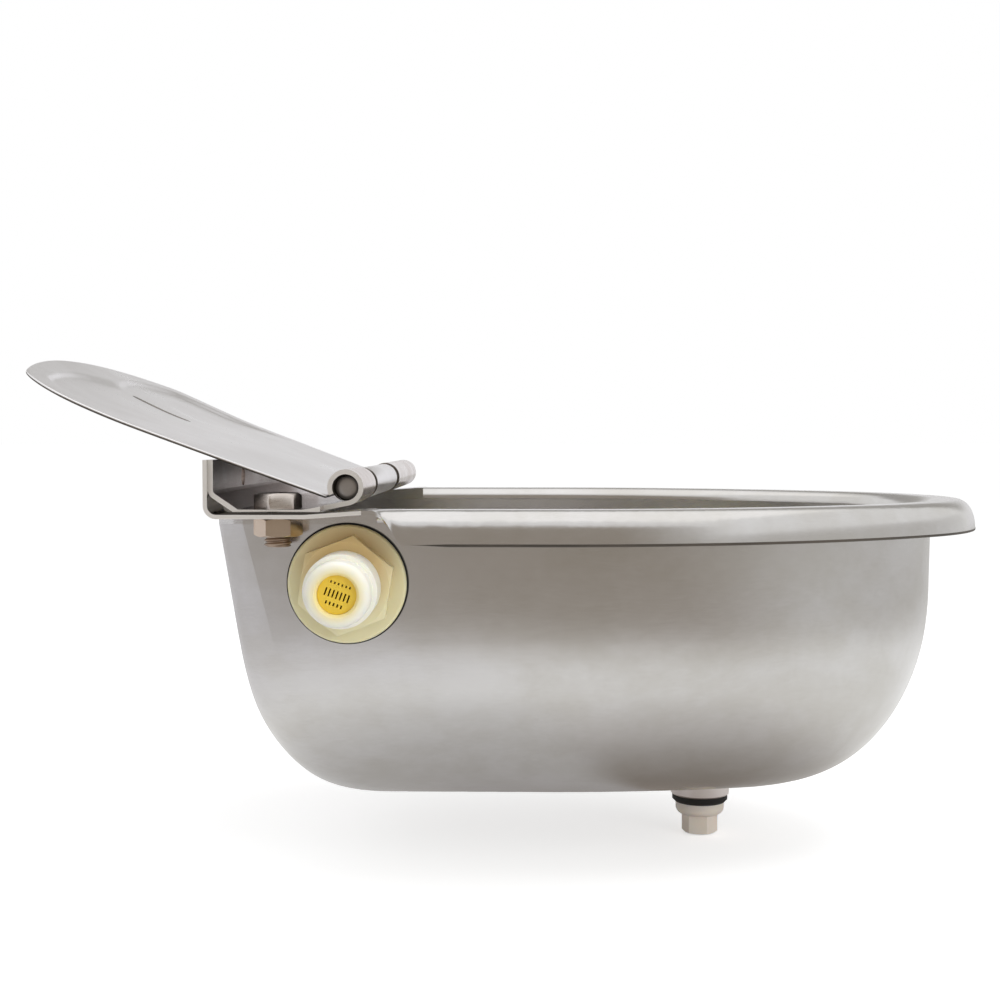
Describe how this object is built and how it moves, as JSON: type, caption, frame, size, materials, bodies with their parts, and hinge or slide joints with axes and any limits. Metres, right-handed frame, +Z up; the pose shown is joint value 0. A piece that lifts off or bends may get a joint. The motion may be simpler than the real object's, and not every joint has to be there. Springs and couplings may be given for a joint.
{
  "type": "livestock drinking bowl",
  "caption": "Wall-hung pressed stainless drinking bowl with turned-down lip, side inlet, float valve under a hinged lid, and a screw drain plug.",
  "frame": {"origin": "on the wall, midway between the two wall bolts", "axes": "+X away from the wall towards the animal, +Y away from the water inlet's side, +Z up"},
  "size_m": [0.3083, 0.2253, 0.1641],
  "materials": {
    "stainless_pan": "satin stainless, drawn",
    "stainless_boss": "turned stainless",
    "stainless_bracket": "bright rolled stainless sheet",
    "bolt_steel": "cold-formed stainless",
    "nut_steel": "cold-formed steel, warm tint",
    "pin_steel": "turned stainless",
    "stainless_lid": "satin stainless, pressed",
    "black_rubber": "matt rubber",
    "ivory_nylon": "moulded, slightly translucent",
    "white_nylon": "moulded",
    "yellow_plastic": "moulded",
    "float_plastic": "moulded, sealed",
    "plug_plastic": "moulded"
  },
  "bodies": {
    "bowl": {"bowl_pan": "stainless_pan", "drain_boss": "stainless_boss", "lid_bracket": "stainless_bracket", "bracket_bolts": "bolt_steel", "bracket_nuts": "nut_steel", "hinge_pin": "pin_steel", "inlet_gasket": "black_rubber", "inlet_lock_nut": "ivory_nylon", "valve_gasket": "black_rubber", "valve_body": "white_nylon", "inlet_filter": "yellow_plastic", "valve_nozzle": "white_nylon", "valve_cap": "ivory_nylon", "arm_pivot_pin": "pin_steel"},
    "lid": {"lid": "stainless_lid"},
    "float_lever": {"float_arm": "white_nylon", "float": "float_plastic", "float_screw": "pin_steel"},
    "piston": {"valve_piston": "ivory_nylon", "piston_seal": "black_rubber"},
    "drain_plug": {"drain_plug": "plug_plastic", "drain_washer": "black_rubber"}
  },
  "joints": [
    {"name": "lid_hinge", "type": "hinge", "parent": "bowl", "child": "lid", "pos_m": [0.039, 0, -0.0024], "axis": [0, 1, 0], "range_deg": [0, 162]},
    {"name": "float_lever_pivot", "type": "hinge", "parent": "bowl", "child": "float_lever", "pos_m": [0.0389, -0.05783, -0.04629], "axis": [1, 0, 0], "range_deg": [0, 16]},
    {"name": "piston_slide", "type": "slide", "parent": "bowl", "child": "piston", "axis": [0, -0.9995, -0.033], "range_m": [0, 0.00391]},
    {"name": "drain_plug_unscrew", "type": "slide", "parent": "bowl", "child": "drain_plug", "axis": [0, 0, -1], "range_m": [0, 0.014]}
  ],
  "couplings": [
    {"joint": "piston_slide", "follows": "float_lever_pivot", "m_per_rad": 0.014}
  ]
}
